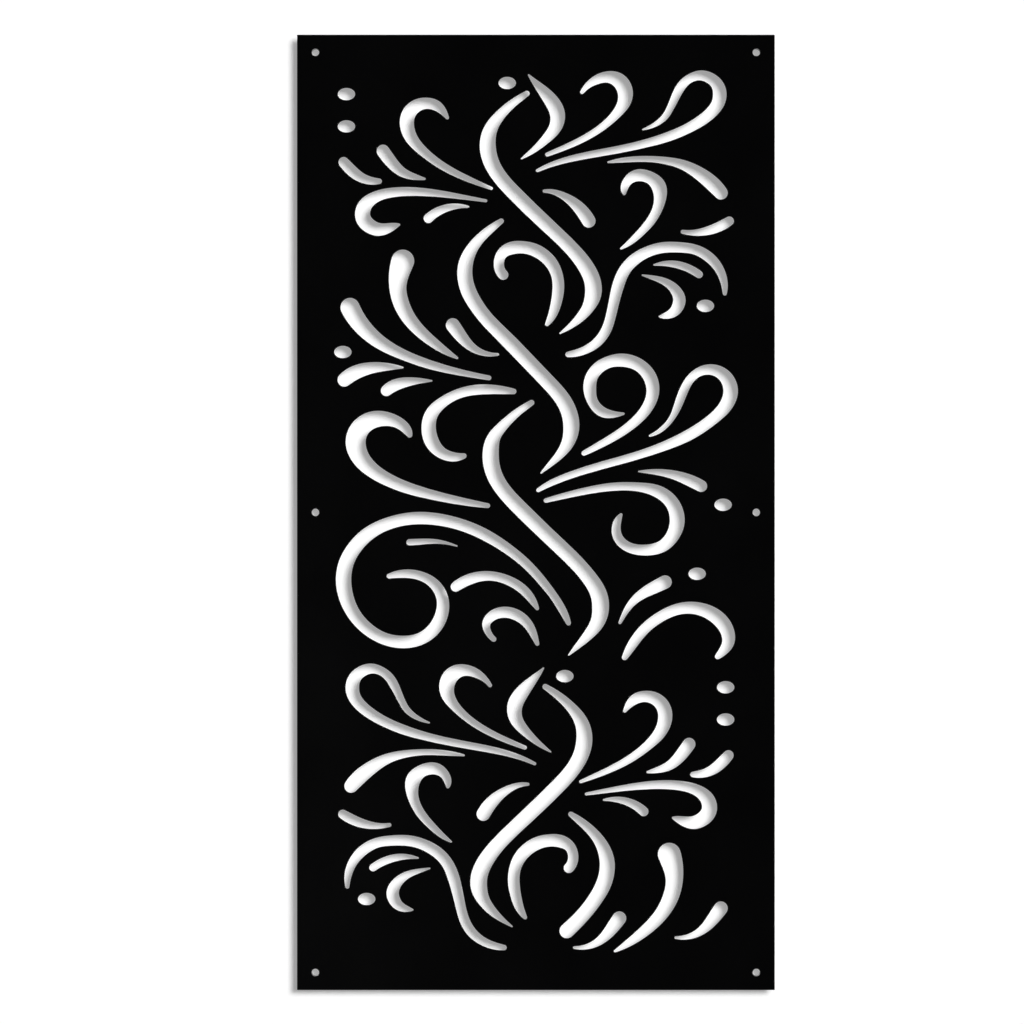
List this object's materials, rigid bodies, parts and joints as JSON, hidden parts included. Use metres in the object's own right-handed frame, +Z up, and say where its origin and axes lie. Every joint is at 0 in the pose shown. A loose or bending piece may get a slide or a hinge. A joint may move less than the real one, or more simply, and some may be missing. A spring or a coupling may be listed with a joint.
{
  "type": "privacy screen panel",
  "caption": "Tall flat sheet-metal privacy screen with scrolls, tears and dots cut through it and fixing holes along its sides, held off a wall by nylon stand-offs.",
  "frame": {"origin": "centre of the pattern of fixing holes, on the back face of the sheet", "axes": "+X to the right as the screen is looked at from its front, +Z up, the front faces -Y and the wall lies towards +Y"},
  "size_m": [0.6, 0.0174, 1.2],
  "materials": {
    "powder_coat": "matt black powder coat with a fine texture",
    "bond_foam": "matt closed-cell foam tape",
    "nylon": "grey moulded nylon, slightly waxy",
    "pad_rubber": "matt black rubber"
  },
  "bodies": {
    "root": {"screen_sheet": "powder_coat", "top_left_bonding_ring": "bond_foam", "top_left_spacer_sleeve": "nylon", "top_left_wall_pad": "pad_rubber", "top_right_bonding_ring": "bond_foam", "top_right_spacer_sleeve": "nylon", "top_right_wall_pad": "pad_rubber", "mid_left_bonding_ring": "bond_foam", "mid_left_spacer_sleeve": "nylon", "mid_left_wall_pad": "pad_rubber", "mid_right_bonding_ring": "bond_foam", "mid_right_spacer_sleeve": "nylon", "mid_right_wall_pad": "pad_rubber", "bottom_left_bonding_ring": "bond_foam", "bottom_left_spacer_sleeve": "nylon", "bottom_left_wall_pad": "pad_rubber", "bottom_right_bonding_ring": "bond_foam", "bottom_right_spacer_sleeve": "nylon", "bottom_right_wall_pad": "pad_rubber"}
  },
  "joints": []
}
